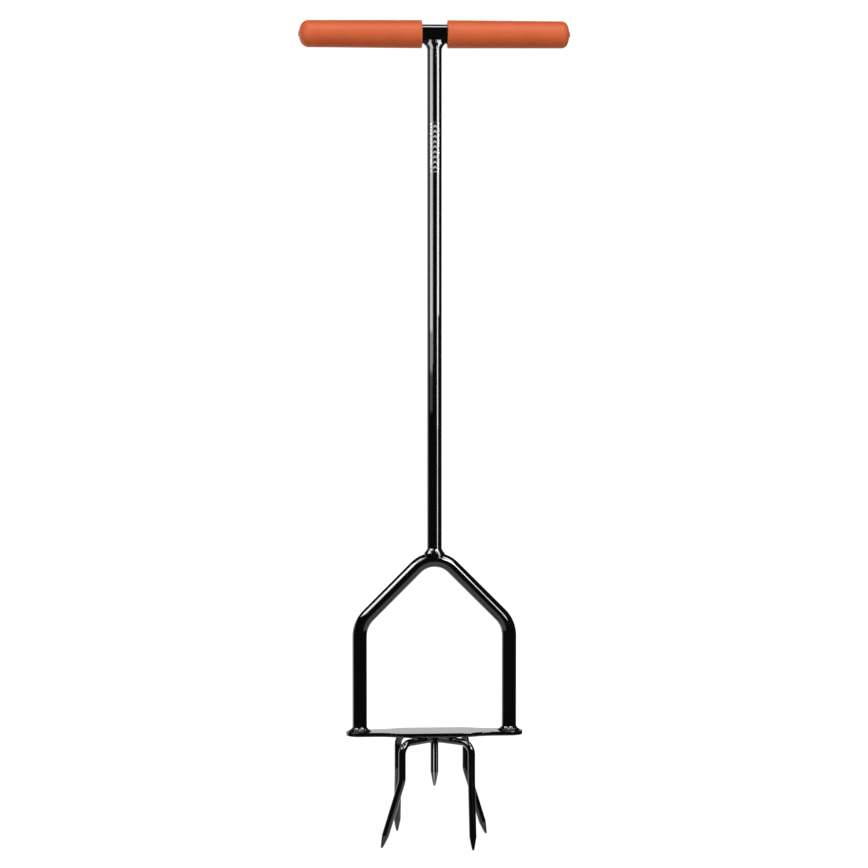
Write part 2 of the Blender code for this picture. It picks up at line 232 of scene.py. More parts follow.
@dataclass(frozen=True)
class Vinyl:
    """Matte moulded vinyl with a fine grain and a slightly uneven colour."""

    name: str = "moulded_vinyl"
    colour: Colour = (0.610, 0.104, 0.026)
    pale: Colour = (0.650, 0.116, 0.030)
    roughness: float = 0.46
    shine: float = 0.42
    cloud_size: float = 0.020
    dent_size: float = 0.006
    grain_size: float = 0.0005
    grain_depth: float = 0.00003
    grain_roughness: float = 0.12
    slot: str = "orange_grip"

    def build(self) -> bpy.types.Material:
        """Make the material."""
        material = bpy.data.materials.new(self.name)
        graph = Graph(material)
        place = graph.place()
        cloud = graph.noise(place, self.cloud_size, detail=3.0, rough=0.55).smooth(0.3, 0.7)
        grain = graph.noise(place, self.grain_size, rough=0.6)
        dents = graph.noise(place, self.dent_size)
        height = (grain + dents) / 2
        shader = graph.node(
            "ShaderNodeBsdfPrincipled",
            inputs={
                "Base Color": graph.blend(cloud, self.colour, self.pale),
                "Roughness": grain * self.grain_roughness + self.roughness,
                "Specular IOR Level": self.shine,
                "Normal": graph.bump(height, self.grain_depth),
            },
        )
        graph.show(shader)
        return material


@dataclass(frozen=True)
class LabelFilm:
    """A dark film with two pale side lines and a column of pale chevrons between them."""

    low: float
    high: float
    half_width: float
    name: str = "label_film"
    ground: Colour = (0.006, 0.006, 0.0065)
    print_colour: Colour = (0.62, 0.62, 0.65)
    line: float = 0.0011
    inset: float = 0.0002
    pitch: float = 0.0058
    stroke: float = 0.0022
    slope: float = 0.8
    reach: float = 0.42
    ground_roughness: float = 0.06
    print_roughness: float = 0.12
    slot: str = "label_print"

    def build(self) -> bpy.types.Material:
        """Make the material."""
        material = bpy.data.materials.new(self.name)
        graph = Graph(material)
        split = graph.node("ShaderNodeSeparateXYZ", inputs={0: graph.place()})
        across = abs(graph.term(split, "X"))
        up = graph.term(split, "Z") - self.low
        edge = self.half_width - self.inset
        side = (across > edge - self.line) * (across < edge)
        margin = self.inset * 3
        inside = (up > margin) * (up < self.high - self.low - margin)
        cell = ((up + across * self.slope) / self.pitch).maths("FRACT") * self.pitch
        chevron = (cell < self.stroke) * (across < self.half_width * self.reach)
        ink = (side + chevron).maths("MINIMUM", 1.0) * inside
        roughening = self.print_roughness - self.ground_roughness
        shader = graph.node(
            "ShaderNodeBsdfPrincipled",
            inputs={
                "Base Color": graph.blend(ink, self.ground, self.print_colour),
                "Roughness": ink * roughening + self.ground_roughness,
            },
        )
        graph.show(shader)
        return material


class Dresser:
    """Makes each finish once and hands it out."""

    def __init__(self) -> None:
        """Start with no finish made."""
        self.made: dict[str, bpy.types.Material] = {}

    def dress(self, piece: Piece, finish: Union[Enamel, Vinyl, LabelFilm]) -> None:
        """Give a piece its finish."""
        if finish.name not in self.made:
            self.made[finish.name] = finish.build()
        piece.data.materials.append(self.made[finish.name])


GLOSS = Enamel("gloss_enamel")
BEAD = Enamel("bead_enamel", roughness=0.12, peel_depth=0.000002, wave_size=0.009)
CRUST = Enamel("crust_enamel", roughness=0.26, peel_depth=0.000002, wave_size=0.006)
TINE = Enamel("tine_enamel", roughness=0.11, peel_depth=0.0000010)


# ---- Making meshes ------------------------------------------------------------------------


@dataclass(frozen=True)
class Extent:
    """The box that one node of the frame fills."""

    low: Vector
    high: Vector

    @classmethod
    def of(cls, node: str) -> "Extent":
        """The box of a node at rest."""
        return cls(*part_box(node))

    @property
    def centre(self) -> Vector:
        """The middle of the box."""
        return (self.low + self.high) / 2

    @property
    def size(self) -> Vector:
        """The sides of the box."""
        return self.high - self.low


def boxed(node: str) -> Any:
    """A dataclass field that holds a node's box."""
    return field(default_factory=lambda: Extent.of(node))


class Bend:
    """A round section carried along straights and bends, as a bar goes through a bender."""

    def __init__(
        self,
        at: Sequence[float],
        heading: Sequence[float],
        radius: float,
        sides: int = 64,
        wall: float = 0.0,
        step: float = math.radians(3),
    ) -> None:
        """Start a bar, or a tube where there is a wall.

        Args:
            at: The middle of the first section.
            heading: The way the bar goes from there.
            radius: The outer radius.
            sides: Facets round the bar.
            wall: The tube's wall, or 0 for a solid bar.
            step: The turn between two sections of a bend.
        """
        self.bm = bmesh.new()
        self.at = Vector(at)
        self.heading = Vector(heading).normalized()
        self.step = step
        turn = UP.rotation_difference(self.heading).to_matrix().to_4x4()
        place = Matrix.Translation(self.at) @ turn
        bmesh.ops.create_circle(
            self.bm, cap_ends=True, segments=sides, radius=radius, matrix=place
        )
        if wall:
            disc = self.bm.faces[:]
            bmesh.ops.inset_region(
                self.bm, faces=disc, thickness=wall, use_boundary=True, use_even_offset=True
            )
            bmesh.ops.delete(self.bm, geom=disc, context="FACES_ONLY")
        self.section: list[Any] = self.bm.faces[:] + self.bm.edges[:]

    def straight(self, length: float, shrink: float = 1.0) -> "Bend":
        """Carry the section forward; shrink below 1 makes a cone."""
        self.at = self.at + self.heading * length
        made = bmesh.ops.extrude_face_region(self.bm, geom=self.section)
        verts = [g for g in made["geom"] if isinstance(g, bmesh.types.BMVert)]
        self.section = made["geom"]
        bmesh.ops.translate(self.bm, verts=verts, vec=self.heading * length)
        if shrink != 1.0:
            centre = Matrix.Translation(-self.at)
            bmesh.ops.scale(self.bm, verts=verts, vec=(shrink,) * 3, space=centre)
        return self

    def turn(self, angle: float, radius: float, axis: Sequence[float]) -> "Bend":
        """Carry the section round a bend of this centre-line radius."""
        about = Vector(axis).normalized()
        centre = self.at + about.cross(self.heading) * radius
        steps = max(2, math.ceil(angle / self.step))
        made = bmesh.ops.spin(
            self.bm, geom=self.section, cent=centre, axis=about, angle=angle, steps=steps
        )
        self.section = made["geom_last"]
        spun = Matrix.Rotation(angle, 3, about)
        self.at = centre + spun @ (self.at - centre)
        self.heading = spun @ self.heading
        return self


def placed(name: str, data: bpy.types.ID) -> Piece:
    """A new object in the scene, at the origin."""
    made = bpy.data.objects.new(name, data)
    bpy.context.scene.collection.objects.link(made)
    return made


def meshed(name: str, bm: BMesh) -> bpy.types.Mesh:
    """A new mesh, for which the bmesh is used up."""
    mesh = bpy.data.meshes.new(name)
    bm.to_mesh(mesh)
    bm.free()
    return mesh


def closed(bm: BMesh) -> BMesh:
    """Merge a spin's seam and poles and turn every face outwards."""
    bmesh.ops.remove_doubles(bm, verts=bm.verts, dist=1e-7)
    bmesh.ops.recalc_face_normals(bm, faces=bm.faces)
    return bm


def turned(profile: Iterable[tuple[float, float]], steps: int, ring: bool) -> BMesh:
    """Turn a profile of (radius, height) points about Z.

    Args:
        profile: The points, which start and end on the axis unless ring is true.
        steps: Facets round the axis.
        ring: Whether the profile is a closed outline away from the axis.

    Returns:
        A closed mesh about the origin.
    """
    bm = bmesh.new()
    verts = [bm.verts.new((radius, 0, z)) for radius, z in profile]
    following = verts[1:] + verts[:1] if ring else verts[1:]
    edges = [bm.edges.new(pair) for pair in zip(verts, following)]
    bmesh.ops.spin(
        bm, geom=verts + edges, axis=(0, 0, 1), angle=math.tau, steps=steps, use_merge=True
    )
    return closed(bm)


def arc(
    centre: tuple[float, float], radius: float, start: float, end: float, steps: int
) -> Profile:
    """Points of an arc from one angle to another, both ends included."""
    angles = [start + (end - start) * i / steps for i in range(steps + 1)]
    return [
        (centre[0] + radius * math.cos(angle), centre[1] + radius * math.sin(angle))
        for angle in angles
    ]


def carved(bm: BMesh, *cutters: BMesh) -> BMesh:
    """Cut closed meshes out of another.

    Args:
        bm: The mesh to cut, which is used up.
        cutters: The meshes to take away, which are used up too.

    Returns:
        What is left.
    """
    made = [placed("carving", meshed("carving", closed(part))) for part in (bm, *cutters)]
    stock = made[0]
    for cutter in made[1:]:
        boolean = stock.modifiers.new("cut", "BOOLEAN")
        boolean.operation = "DIFFERENCE"
        boolean.solver = "EXACT"
        boolean.object = cutter
    done = stock.evaluated_get(bpy.context.evaluated_depsgraph_get())
    left = bmesh.new()
    left.from_mesh(done.to_mesh())
    for thing in made:
        bpy.data.objects.remove(thing)
    return left


def eased(bm: BMesh, angle: float, width: float, segments: int = 3) -> None:
    """Round off every edge sharper than an angle."""
    sharp = [edge for edge in bm.edges if edge.calc_face_angle(0.0) > angle]
    bmesh.ops.bevel(
        bm,
        geom=sharp,
        offset=width,
        affect="EDGES",
        segments=segments,
        profile=0.5,
        material=-1,
        clamp_overlap=True,
    )


class Workshop:
    """Turns finished meshes into pieces of the tool and keeps the list of them."""

    def __init__(self) -> None:
        """Start with an empty bench."""
        self.dresser = Dresser()
        self.pieces: list[Piece] = []

    def piece(
        self,
        name: str,
        bm: BMesh,
        finish: Union[Enamel, Vinyl, LabelFilm],
        *nodes: str,
        sharp: float = math.radians(35),
    ) -> Piece:
        """Make a piece that rides on the tool and stands for some nodes of the frame.

        Args:
            name: The piece's name.
            bm: Its mesh in place, which is used up.
            finish: Its finish.
            nodes: The nodes that it replaces.
            sharp: The angle above which an edge stays sharp.

        Returns:
            The new object.
        """
        mesh = meshed(name, closed(bm))
        mesh.shade_smooth()
        mesh.set_sharp_from_angle(angle=sharp)
        made = placed(name, mesh)
        self.dresser.dress(made, finish)
        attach(made, BODY)
        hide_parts(*nodes)
        self.pieces.append(made)
        log.info("%s: %d faces", name, len(mesh.polygons))
        return made


# ---- Handle -------------------------------------------------------------------------------


class Side(Enum):
    """A side of the tool, with its sign along X."""

    LEFT = -1
    RIGHT = 1


@dataclass
class Handle:
    """The crossbar and the two soft grips on it."""

    wall: float = 0.0015
    grip_edge: float = 0.0011
    grip_taper: float = 0.0006
    left_corner: float = 0.0102
    right_corner: float = 0.0075
    dome_reach: float = math.radians(22)
    dome_share: float = 0.9
    nub_radius: float = 0.0030
    nub_height: float = 0.0006
    nub_rounding: float = 0.7
    bore_play: float = 0.0001
    end_play: float = 0.0002
    sides: int = 96
    bar: Extent = boxed("crossbar_tube")

    @property
    def radius(self) -> float:
        """The crossbar's outer radius."""
        return self.bar.size.z / 2

    def run(self, spare: float = 0.0, wall: float = 0.0) -> BMesh:
        """The crossbar, or a solid bar larger than it by spare where there is no wall."""
        start = (self.bar.low.x, 0, self.bar.centre.z)
        made = Bend(start, (1, 0, 0), self.radius + spare, self.sides, wall)
        return made.straight(self.bar.size.x).bm

    def grip(self, side: Side) -> BMesh:
        """One grip in place: a blind bore, a shallow dome at the end and a moulding nub."""
        box = Extent.of(f"{side.name.lower()}_grip")
        length = box.size.x
        outer = box.size.z / 2
        bore = self.radius + self.bore_play
        mouth = min(abs(box.low.x), abs(box.high.x))
        floor = self.bar.high.x - mouth + self.end_play
        profile = [(0.0, floor), (bore, floor), (bore, 0.0)]
        profile += arc(
            (outer - self.grip_edge, self.grip_edge), self.grip_edge, -math.pi / 2, 0, 5
        )
        corner = self.left_corner if side is Side.LEFT else self.right_corner
        across = outer - self.grip_taper - corner
        offset = across / math.sin(self.dome_reach)
        dome = offset + corner
        dome_z = length - self.nub_height - dome
        corner_z = dome_z + offset * math.cos(self.dome_reach)
        profile += arc((across, corner_z), corner, 0, math.pi / 2 - self.dome_reach, 14)
        nub_foot = math.asin((self.nub_radius + self.nub_height) / dome)
        start = math.pi / 2 - self.dome_reach * self.dome_share
        profile += arc((0.0, dome_z), dome, start, math.pi / 2 - nub_foot, 6)
        rounding = self.nub_height * self.nub_rounding
        profile += arc(
            (self.nub_radius - rounding, length - rounding), rounding, 0, math.pi / 2, 4
        )
        profile += [(0.0, length)]
        bm = turned(profile, self.sides, ring=False)
        tilt = Matrix.Rotation(side.value * math.pi / 2, 4, "Y")
        inner = box.low.x if side is Side.RIGHT else box.high.x
        place = Matrix.Translation((inner, 0, box.centre.z)) @ tilt
        bmesh.ops.transform(bm, matrix=place, verts=bm.verts)
        return bm

    def build(self, shop: Workshop) -> None:
        """Make the crossbar and the grips."""
        shop.piece("crossbar", self.run(wall=self.wall), GLOSS, "crossbar_tube")
        for side in Side:
            name = side.name.lower()
            shop.piece(f"{name}_soft_grip", self.grip(side), Vinyl(), f"{name}_grip")


# ---- Shaft and yoke -----------------------------------------------------------------------


@dataclass
class Yoke:
    """The bent tube that carries the step plate under the shaft."""

    crown_radius: float = 0.030
    knee_radius: float = 0.034
    slope: float = math.radians(45)
    wall: float = 0.0015
    sides: int = 64
    box: Extent = boxed("yoke_tube")

    @property
    def radius(self) -> float:
        """The tube's outer radius."""
        return self.box.size.y / 2

    @property
    def leg_x(self) -> float:
        """How far a leg's axis is from the middle."""
        return self.box.size.x / 2 - self.radius

    @property
    def crown_z(self) -> float:
        """The height of the centre line at the crown."""
        return self.box.high.z - self.radius

    def run(self, spare: float = 0.0, wall: float = 0.0) -> BMesh:
        """The yoke, or a solid bar larger than it by spare where there is no wall."""
        foot = self.box.low.z
        knee_turn = math.pi / 2 - self.slope
        crown_set = self.crown_radius * math.tan(self.slope)
        knee_set = self.knee_radius * math.tan(knee_turn / 2)
        corner = self.crown_z + self.crown_radius * (1 / math.cos(self.slope) - 1)
        leg = corner - self.leg_x * math.tan(self.slope) - knee_set - foot
        diagonal = self.leg_x / math.cos(self.slope) - knee_set - crown_set
        across = (0, 1, 0)
        bar = Bend((-self.leg_x, 0, foot), (0, 0, 1), self.radius + spare, self.sides, wall)
        bar.straight(leg).turn(knee_turn, self.knee_radius, across).straight(diagonal)
        bar.turn(2 * self.slope, self.crown_radius, across)
        bar.straight(diagonal).turn(knee_turn, self.knee_radius, across).straight(leg)
        return bar.bm

    def build(self, shop: Workshop) -> None:
        """Make the yoke."""
        shop.piece("yoke", self.run(wall=self.wall), GLOSS, "yoke_tube")


@dataclass
class Shaft:
    """The straight tube between the crossbar and the yoke, and the beads at its ends."""

    handle: Handle
    yoke: Yoke
    wall: float = 0.0015
    sides: int = 64
    bead_drop: float = 0.0058
    bead_side: float = 0.0036
    bead_face: float = 0.0017
    bead_skin: float = 0.0001
    root_share: float = 0.25
    side_hollow: float = 1.5
    front_hollow: float = 0.7
    crown_hang: float = 0.0025
    bar_hang: float = 0.0003
    ripples: int = 30
    ripple_height: float = 0.00007
    ripple_twist: float = 260.0
    wander_scale: Sequence[float] = (2.0, 2.0, 300.0)
    wander_turn: float = 0.12
    wander_lift: float = 0.8
    bead_segments: int = 192
    bead_rings: int = 14
    box: Extent = boxed("shaft_tube")

    @property
    def radius(self) -> float:
        """The shaft's outer radius."""
        return self.box.size.x / 2

    def run(self, low: float, high: float, spare: float = 0.0, wall: float = 0.0) -> BMesh:
        """The shaft between two heights, solid where there is no wall."""
        bar = Bend((0, 0, low), (0, 0, 1), self.radius + spare, self.sides, wall)
        return bar.straight(high - low).bm

    def skirt(self, corner: float, end: float, up: int) -> BMesh:
        """A rippled bead round the shaft, before it is cut to fit.

        Args:
            corner: Where the shaft's side meets the other tube.
            end: Where the bead stops at the front.
            up: 1 for a bead over the other tube and -1 for one under it.

        Returns:
            A solid of oval rings.
        """
        bm = bmesh.new()
        loops = []
        tip = corner + up * self.bead_drop
        for i in range(self.bead_rings + 1):
            share = i / self.bead_rings
            side, front = self.bead_side, self.bead_face
            if share < self.root_share:
                z = end + (corner - end) * share / self.root_share
            else:
                along = (share - self.root_share) / (1 - self.root_share)
                z = corner + (tip - corner) * along
                side *= (1 - along) ** self.side_hollow
                front *= (1 - along) ** self.front_hollow
            place = Matrix.Translation((0, 0, z))
            made = bmesh.ops.create_circle(
                bm, segments=self.bead_segments, radius=1, matrix=place
            )
            for vert in made["verts"]:
                angle = math.atan2(vert.co.y, vert.co.x)
                out = self.radius + self.ripple(angle, z) + self.bead_skin
                vert.co.x *= out + side
                vert.co.y *= out + front
            loops.append(list({edge for vert in made["verts"] for edge in vert.link_edges}))
        for lower, upper in zip(loops, loops[1:]):
            bmesh.ops.bridge_loops(bm, edges=lower + upper)
        for rim in (loops[0], loops[-1]):
            bmesh.ops.contextual_create(bm, geom=rim)
        return bm

    def ripple(self, angle: float, z: float) -> float:
        """How far the bead stands proud at an angle round the shaft and a height."""
        around = Vector((math.cos(angle), math.sin(angle), z))
        wander = noise.noise(around * Vector(self.wander_scale))
        turn = self.ripples * (angle + wander * self.wander_turn) / 2
        scallop = abs(math.sin(turn + z * self.ripple_twist))
        return self.ripple_height * (scallop + wander * self.wander_lift)

    def build(self, shop: Workshop) -> None:
        """Make the shaft and its two beads."""
        crossbar_z = self.handle.bar.centre.z
        over_bar = self.handle.run(COPE)
        over_yoke = self.yoke.run(COPE)
        tube = self.run(self.box.low.z, crossbar_z, wall=self.wall)
        shop.piece("shaft", carved(tube, over_bar, over_yoke), GLOSS, "shaft_tube")

        arch = self.yoke.crown_radius + self.yoke.radius
        crown_corner = (
            self.yoke.crown_z - self.yoke.crown_radius + math.sqrt(arch**2 - self.radius**2)
        )
        crown = self.skirt(crown_corner, self.yoke.crown_z + self.crown_hang, 1)
        core = self.run(self.box.low.z - FUSE, crossbar_z, -FUSE)
        crown = carved(crown, self.yoke.run(-FUSE), core)
        shop.piece("crown_bead", crown, BEAD, "crown_weld")

        bar_radius = self.handle.radius
        top_end = crossbar_z - math.sqrt(bar_radius**2 - (self.radius + self.bar_hang) ** 2)
        top = self.skirt(crossbar_z - bar_radius, top_end, -1)
        core = self.run(self.box.low.z, crossbar_z, -FUSE)
        top = carved(top, self.handle.run(-FUSE), core)
        shop.piece("crossbar_bead", top, BEAD, "crossbar_weld")


@dataclass
class FootBeads:
    """The rippled bead round the foot of each leg."""

    yoke: Yoke
    height: float = 0.0056
    bulge: float = 0.10
    bulge_lift: float = 0.06
    rings: int = 11
    ripples: int = 27
    ripple_height: float = 0.00036
    ripple_mean: float = 0.7
    ripple_lag: float = 0.09
    wander_scale: float = 2.0
    wander_turn: float = 0.10
    wander_lift: float = 0.6
    segments: int = 216

    def bead(self, side: Side) -> BMesh:
        """One bead in place, reaching slightly into the leg and the plate."""
        box = Extent.of(f"{side.name.lower()}_leg_weld")
        floor = Extent.of("step_plate").high.z - FUSE
        bore = self.yoke.radius - FUSE
        width = box.size.x / 2 - bore
        profile = [(bore, 0.0), (bore + width, 0.0)]
        for i in range(1, self.rings):
            angle = math.pi / 2 * i / self.rings
            swell = math.sin(2 * angle)
            full = 1 + swell * self.bulge
            lift = swell * self.bulge_lift
            across = (1 - math.sin(angle)) * full + lift
            rise = (1 - math.cos(angle)) * full + lift
            profile.append((bore + width * across, self.height * rise))
        profile.append((bore, self.height))
        bm = turned(profile, self.segments, ring=True)
        for vert in bm.verts:
            out = Vector((vert.co.x, vert.co.y, 0))
            share = (out.length - bore) / width
            if vert.co.z < FUSE or share < 0.02:  # the faces against the plate and the leg
                continue
            around = Vector((*(out.normalized().xy * self.wander_scale), side.value))
            wander = noise.noise(around)
            angle = math.atan2(vert.co.y, vert.co.x)
            turn = angle + (1 - share) * self.ripple_lag + wander * self.wander_turn
            scallop = abs(math.sin(self.ripples * turn / 2))
            height = scallop - self.ripple_mean + wander * self.wander_lift
            lift = self.ripple_height * height * math.sin(math.pi * share)
            vert.co += (out.normalized() + UP).normalized() * lift
        place = Matrix.Translation((side.value * self.yoke.leg_x, 0, floor))
        bmesh.ops.transform(bm, matrix=place, verts=bm.verts)
        return bm

    def build(self, shop: Workshop) -> None:
        """Make both beads."""
        for side in Side:
            name = side.name.lower()
            shop.piece(f"{name}_foot_bead", self.bead(side), BEAD, f"{name}_leg_weld")


# ---- Step plate ---------------------------------------------------------------------------


@dataclass
class StepPlate:
    """The flat plate that a foot presses on."""

    middle_length: float = 0.077
    taper_length: float = 0.018
    end_radius: float = 0.0145
    corner: float = 0.009
    edge: float = 0.0006
    box: Extent = boxed("step_plate")

    def outline(self) -> Profile:
        """The plate's corners and round ends, seen from above."""
        half_middle = self.middle_length / 2
        neck = half_middle + self.taper_length
        end_centre = self.box.size.x / 2 - self.end_radius
        quarter = [(half_middle, self.box.size.y / 2), (neck, self.end_radius)]
        end = arc((end_centre, 0), self.end_radius, math.pi / 2, -math.pi / 2, 40)
        right = quarter + end + [(x, -y) for x, y in reversed(quarter)]
        return right + [(-x, -y) for x, y in right]

    def mesh(self) -> BMesh:
        """The plate in place, with eased edges."""
        bm = bmesh.new()
        verts = [bm.verts.new((x, y, self.box.low.z)) for x, y in self.outline()]
        bm.faces.new(verts)
        neck = self.middle_length / 2 + self.taper_length
        corners = [v for v in verts if abs(v.co.x) < neck + self.edge]
        bmesh.ops.bevel(
            bm,
            geom=corners,
            affect="VERTICES",
            offset=self.corner,
            segments=8,
            profile=0.5,
            material=-1,
        )
        made = bmesh.ops.extrude_face_region(bm, geom=bm.faces[:])
        raised = [g for g in made["geom"] if isinstance(g, bmesh.types.BMVert)]
        bmesh.ops.translate(bm, verts=raised, vec=(0, 0, self.box.size.z))
        eased(bm, math.radians(60), self.edge)
        flats = sorted(bm.faces, key=lambda face: face.calc_area())[-2:]
        bmesh.ops.inset_individual(bm, faces=flats, thickness=self.edge / 2)
        return bm

    def build(self, shop: Workshop) -> None:
        """Make the plate."""
        shop.piece("foot_plate", self.mesh(), GLOSS, "step_plate", sharp=math.radians(30))


# ---- Tines and spike ----------------------------------------------------------------------


class Corner(Enum):
    """Where a tine stands, with its azimuth in degrees from +X."""

    FRONT_LEFT = 225
    FRONT_RIGHT = 315
    REAR_RIGHT = 45
    REAR_LEFT = 135


@dataclass
class Tines:
    """The four bent tines, the beads along their arms and the centre spike."""

    circle: float = 0.112
    shoulder_radius: float = 0.013
    kink_height: float = 0.0768
    kink_radius: float = 0.020
    kink_angle: float = math.radians(17)
    kink_azimuth: float = math.radians(-45)
    point_length: float = 0.0145
    point_diameter: float = 0.0023
    spike_cone: float = 0.016
    spike_point: float = 0.0024
    bead_width: float = 0.0030
    point_shares: Sequence[float] = (0.35, 0.7, 1.0)
    point_fullness: float = 0.10
    bead_clear: float = 0.0004
    bead_depth: float = 0.95
    bead_inner: float = 0.55
    bead_root: float = 0.80
    bead_ripple: float = 0.0004
    bead_scallops: int = 9
    bead_steps: int = 28
    cove_steps: int = 6
    radius: float = 0.00415
    gap: float = 0.0003
    start_gap: float = 0.0030
    sides: int = 48
    plate: Extent = boxed("step_plate")
    spike: Extent = boxed("centre_spike")

    @property
    def arm_z(self) -> float:
        """The height of the arms' axes."""
        return self.plate.low.z - self.gap - self.radius

    @property
    def arm_start(self) -> float:
        """How far from the middle an arm begins."""
        return self.spike.size.x / 2 + self.start_gap

    def pointed(self, bar: Bend, length: float, diameter: float, radius: float) -> None:
        """Draw a bar out to a blunt point with a slightly full cone."""
        before_length, before_radius = 0.0, radius
        for share in self.point_shares:
            full = 1 + self.point_fullness * math.sin(math.pi * share)
            after = radius + (diameter / 2 - radius) * share * (2 - full)
            bar.straight(length * share - before_length, after / before_radius)
            before_length, before_radius = length * share, after

    def tine(self, corner: Corner) -> BMesh:
        """One tine in place."""
        start = self.arm_start
        kink_set = self.kink_radius * math.tan(self.kink_angle / 2)
        point_rise = self.point_diameter / 2 * math.sin(self.kink_angle)
        arm = self.circle / 2 - self.shoulder_radius - start
        upper = self.arm_z - self.shoulder_radius - self.kink_height - kink_set
        lower = (self.kink_height - point_rise) / math.cos(self.kink_angle)
        aside = Vector((math.cos(self.kink_azimuth), math.sin(self.kink_azimuth), 0))
        bar = Bend((start, 0, self.arm_z), (1, 0, 0), self.radius, self.sides)
        bar.straight(arm).turn(math.pi / 2, self.shoulder_radius, (0, 1, 0)).straight(upper)
        bar.turn(self.kink_angle, self.kink_radius, (-UP).cross(aside))
        bar.straight(lower - kink_set - self.point_length)
        self.pointed(bar, self.point_length, self.point_diameter, self.radius)
        spin = Matrix.Rotation(math.radians(corner.value), 4, "Z")
        bmesh.ops.transform(bar.bm, matrix=spin, verts=bar.bm.verts)
        return bar.bm

    def cove(self, width: float, depth: float) -> Profile:
        """A hollow quarter curve from the end of its width down to its depth."""
        steps = range(1, self.cove_steps + 1)
        angles = [math.pi / 2 * i / self.cove_steps for i in steps]
        return [
            (width * (1 - math.sin(angle)), -depth * (1 - math.cos(angle))) for angle in angles
        ]

    def arm_bead(self, corner: Corner, side: int) -> BMesh:
        """A lumpy fillet along one side of an arm.

        Args:
            corner: The arm's tine.
            side: 1 or -1, the side of the arm.

        Returns:
            A closed mesh in place.
        """
        box = Extent.of(f"{corner.name.lower()}_tine_weld_a")
        reach = max(abs(box.low.x), abs(box.high.x))
        near = self.radius + self.bead_width + self.bead_clear
        # This holds at 135 and 315 degrees. At 45 and 225 the box's far corner is on the bead's
        # inner side, so those four beads end about 9 mm short of the frame's.
        far = reach * math.sqrt(2) - self.radius - self.bead_width
        top = self.plate.low.z
        depth = self.radius * self.bead_depth
        section = [(self.radius * self.bead_inner, top), (self.radius + self.bead_width, top)]
        section += [
            (self.radius + out, top + down) for out, down in self.cove(self.bead_width, depth)
        ]
        section.append((self.radius * self.bead_root, self.arm_z))
        bm = bmesh.new()
        face = bm.faces.new([bm.verts.new((near, side * out, up)) for out, up in section])
        geom: list[Any] = [face, *face.edges]
        for _ in range(self.bead_steps):
            made = bmesh.ops.extrude_face_region(bm, geom=geom)
            geom = made["geom"]
            moved = [g for g in geom if isinstance(g, bmesh.types.BMVert)]
            length = (far - near) / self.bead_steps
            bmesh.ops.translate(bm, verts=moved, vec=(length, 0, 0))
        for vert in bm.verts:
            out = abs(vert.co.y) - self.radius
            if top - vert.co.z > 0.0002 and out > 0:  # the bead's open face
                along = (vert.co.x - near) / (far - near)
                scallop = abs(math.sin(along * self.bead_scallops * math.pi))
                end = min(1.0, 6 * along, 6 * (1 - along))
                lift = self.bead_ripple * (scallop - 0.6) - out * 0.5 * (1 - end)
                vert.co.y += side * lift
        spin = Matrix.Rotation(math.radians(corner.value), 4, "Z")
        bmesh.ops.transform(bm, matrix=spin, verts=bm.verts)
        return bm

    def centre_spike(self) -> BMesh:
        """The spike in place."""
        radius = self.spike.size.x / 2
        shank = self.spike.size.z - self.spike_cone
        bar = Bend((0, 0, self.spike.high.z), (0, 0, -1), radius, self.sides)
        bar.straight(shank)
        self.pointed(bar, self.spike_cone, self.spike_point, radius)
        return bar.bm

    def spike_bead(self) -> BMesh:
        """The bead round the spike's root."""
        box = Extent.of("spike_weld")
        bore = self.spike.size.x / 2 - FUSE
        width = box.size.x / 2 - bore
        top = self.plate.low.z + FUSE
        profile = [(bore, 0.0), (bore + width, 0.0)]
        profile += [(bore + out, down) for out, down in self.cove(width, box.size.z)]
        bm = turned(profile, 96, ring=True)
        bmesh.ops.translate(bm, verts=bm.verts, vec=(0, 0, top))
        return bm

    def build(self, shop: Workshop) -> None:
        """Make the tines, their beads and the spike."""
        crisp = math.radians(9)
        for corner in Corner:
            name = corner.name.lower()
            shop.piece(f"{name}_prong", self.tine(corner), TINE, f"{name}_tine", sharp=crisp)
            for letter, side in (("a", 1), ("b", -1)):
                node = f"{name}_tine_weld_{letter}"
                bead = self.arm_bead(corner, side)
                shop.piece(f"{name}_prong_bead_{letter}", bead, CRUST, node)
        shop.piece("spike", self.centre_spike(), GLOSS, "centre_spike", sharp=crisp)
        shop.piece("spike_bead", self.spike_bead(), CRUST, "spike_weld")


# ---- Label --------------------------------------------------------------------------------


@dataclass
class Label:
    """The thin film stuck on the front of the shaft."""

    shaft: Shaft
    clear: float = 0.00003
    thickness: float = 0.00012
    steps: int = 40
    box: Extent = boxed("shaft_label")

    def build(self, shop: Workshop) -> None:
        """Make the film, curved round the shaft."""
        inner = self.shaft.radius + self.clear
        outer = inner + self.thickness
        half = math.asin(self.box.size.x / 2 / outer)
        bm = bmesh.new()
        corners = [
            (inner, self.box.low.z),
            (outer, self.box.low.z),
            (outer, self.box.high.z),
            (inner, self.box.high.z),
        ]
        section = bm.faces.new([bm.verts.new((radius, 0, z)) for radius, z in corners])
        facing = Matrix.Rotation(-math.pi / 2 - half, 3, "Z")
        bmesh.ops.rotate(bm, verts=bm.verts, matrix=facing)
        bmesh.ops.spin(bm, geom=[section], axis=(0, 0, 1), angle=2 * half, steps=self.steps)
        film = LabelFilm(self.box.low.z, self.box.high.z, self.box.size.x / 2)
        shop.piece("label_film", bm, film, "shaft_label")


# ---- Studio -------------------------------------------------------------------------------


class Duty(Enum):
    """What a light is for."""

    GLOSS = "reflections in the paint"
    UNDERGLOW = "reflections in the paint below the handle"
    MATTE = "the soft grips"
    SPIKE = "reflections in the centre spike"
    PRINT = "the label's print"


